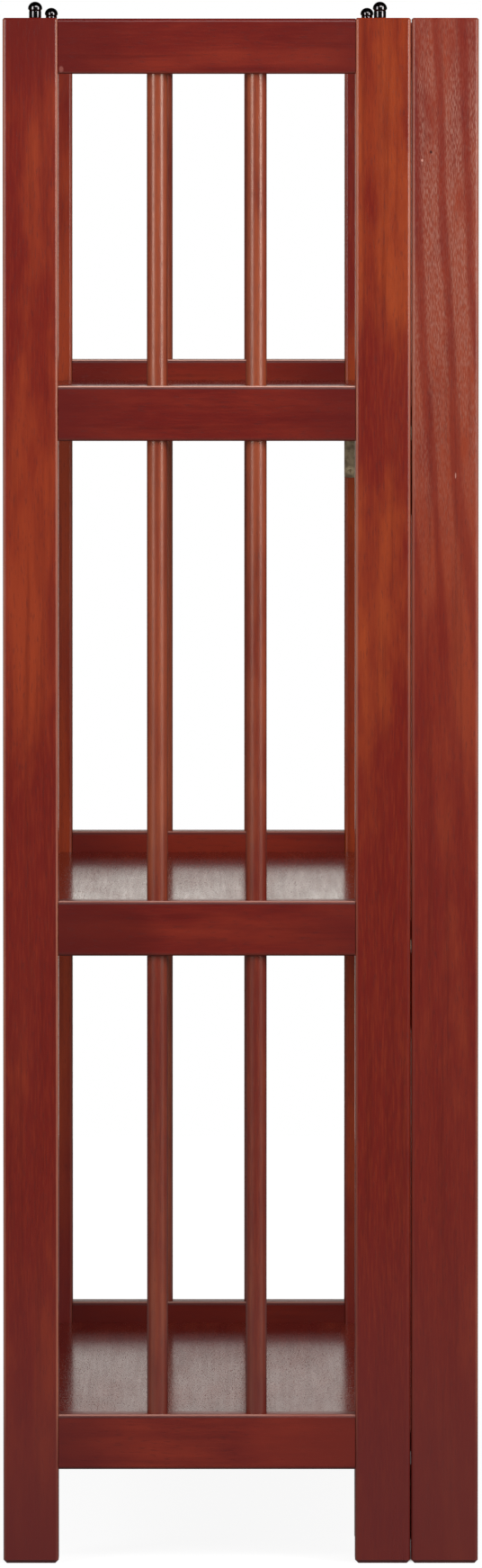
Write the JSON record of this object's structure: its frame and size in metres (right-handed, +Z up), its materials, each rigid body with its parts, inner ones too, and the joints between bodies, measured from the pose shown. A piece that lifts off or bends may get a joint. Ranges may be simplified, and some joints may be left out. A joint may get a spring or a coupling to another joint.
{
  "type": "folding bookcase",
  "caption": "Open stained-wood folding bookcase with tilt-up shelves between spindled side frames hinged to a back frame, and ball-headed pins for stacking another on top.",
  "frame": {"origin": "on the floor, under the middle of the open bookcase", "axes": "+Z up, -Y towards the front where books go in, +X to the right of someone facing the front"},
  "size_m": [0.6984, 0.2968, 0.9751],
  "materials": {
    "upright_wood": "red-brown stain under satin varnish, grain upright",
    "side_rail_wood": "red-brown stain under satin varnish, grain front to back",
    "back_rail_wood": "red-brown stain under satin varnish, grain left to right",
    "spindle_wood": "red-brown stain under satin varnish, turned",
    "shelf_wood": "red-brown stain under smooth satin varnish",
    "dowel_wood": "bare beech",
    "hinge_metal": "aged, antique bronze look",
    "hinge_pin_metal": "aged, antique bronze look",
    "screw_steel": "yellow zinc plated, dulled",
    "stacking_pin_metal": "black nickel plated, glossy",
    "shelf_pin_steel": "plain steel"
  },
  "bodies": {
    "back_frame": {"back_rail_dowels": "dowel_wood", "bottom_back_rail": "back_rail_wood", "left_hinge_pins": "hinge_pin_metal", "left_stile": "upright_wood", "left_stile_leaf_screws": "screw_steel", "left_stile_leaves": "hinge_metal", "middle_back_rail": "back_rail_wood", "right_hinge_pins": "hinge_pin_metal", "right_stile": "upright_wood", "right_stile_leaf_screws": "screw_steel", "right_stile_leaves": "hinge_metal", "top_back_rail": "back_rail_wood", "upper_back_rail": "back_rail_wood"},
    "bottom_shelf": {"bottom_shelf": "shelf_wood", "bottom_shelf_pins": "shelf_pin_steel"},
    "left_side": {"left_bottom_cleat": "side_rail_wood", "left_bottom_front_spindle": "spindle_wood", "left_bottom_rail": "side_rail_wood", "left_bottom_rear_spindle": "spindle_wood", "left_cleat_screws": "screw_steel", "left_front_post": "upright_wood", "left_middle_cleat": "side_rail_wood", "left_middle_front_spindle": "spindle_wood", "left_middle_rail": "side_rail_wood", "left_middle_rear_spindle": "spindle_wood", "left_post_leaf_screws": "screw_steel", "left_post_leaves": "hinge_metal", "left_rail_dowels": "dowel_wood", "left_rear_post": "upright_wood", "left_stacking_pins": "stacking_pin_metal", "left_top_rail": "side_rail_wood", "left_upper_cleat": "side_rail_wood", "left_upper_front_spindle": "spindle_wood", "left_upper_rail": "side_rail_wood", "left_upper_rear_spindle": "spindle_wood"},
    "middle_shelf": {"middle_shelf": "shelf_wood", "middle_shelf_pins": "shelf_pin_steel"},
    "right_side": {"right_bottom_cleat": "side_rail_wood", "right_bottom_front_spindle": "spindle_wood", "right_bottom_rail": "side_rail_wood", "right_bottom_rear_spindle": "spindle_wood", "right_cleat_screws": "screw_steel", "right_front_post": "upright_wood", "right_middle_cleat": "side_rail_wood", "right_middle_front_spindle": "spindle_wood", "right_middle_rail": "side_rail_wood", "right_middle_rear_spindle": "spindle_wood", "right_post_leaf_screws": "screw_steel", "right_post_leaves": "hinge_metal", "right_rail_dowels": "dowel_wood", "right_rear_post": "upright_wood", "right_stacking_pins": "stacking_pin_metal", "right_top_rail": "side_rail_wood", "right_upper_cleat": "side_rail_wood", "right_upper_front_spindle": "spindle_wood", "right_upper_rail": "side_rail_wood", "right_upper_rear_spindle": "spindle_wood"},
    "upper_shelf": {"upper_shelf": "shelf_wood", "upper_shelf_pins": "shelf_pin_steel"}
  },
  "joints": [
    {"name": "left_side_fold", "type": "hinge", "parent": "back_frame", "child": "left_side", "pos_m": [-0.324, 0.10635, 0.48], "axis": [0, 0, 1], "range_deg": [-1.2, 0.5]},
    {"name": "right_side_fold", "type": "hinge", "parent": "back_frame", "child": "right_side", "pos_m": [0.324, 0.10635, 0.48], "axis": [0, 0, -1], "range_deg": [-1.2, 0.5]},
    {"name": "bottom_shelf_fold", "type": "hinge", "parent": "back_frame", "child": "bottom_shelf", "pos_m": [0, 0.12455, 0.0732], "axis": [-1, 0, 0], "range_deg": [0, 92]},
    {"name": "middle_shelf_fold", "type": "hinge", "parent": "back_frame", "child": "middle_shelf", "pos_m": [0, 0.12455, 0.3946], "axis": [-1, 0, 0], "range_deg": [0, 92]},
    {"name": "upper_shelf_fold", "type": "hinge", "parent": "back_frame", "child": "upper_shelf", "pos_m": [0, 0.12455, 0.716], "axis": [-1, 0, 0], "range_deg": [0, 90]}
  ]
}
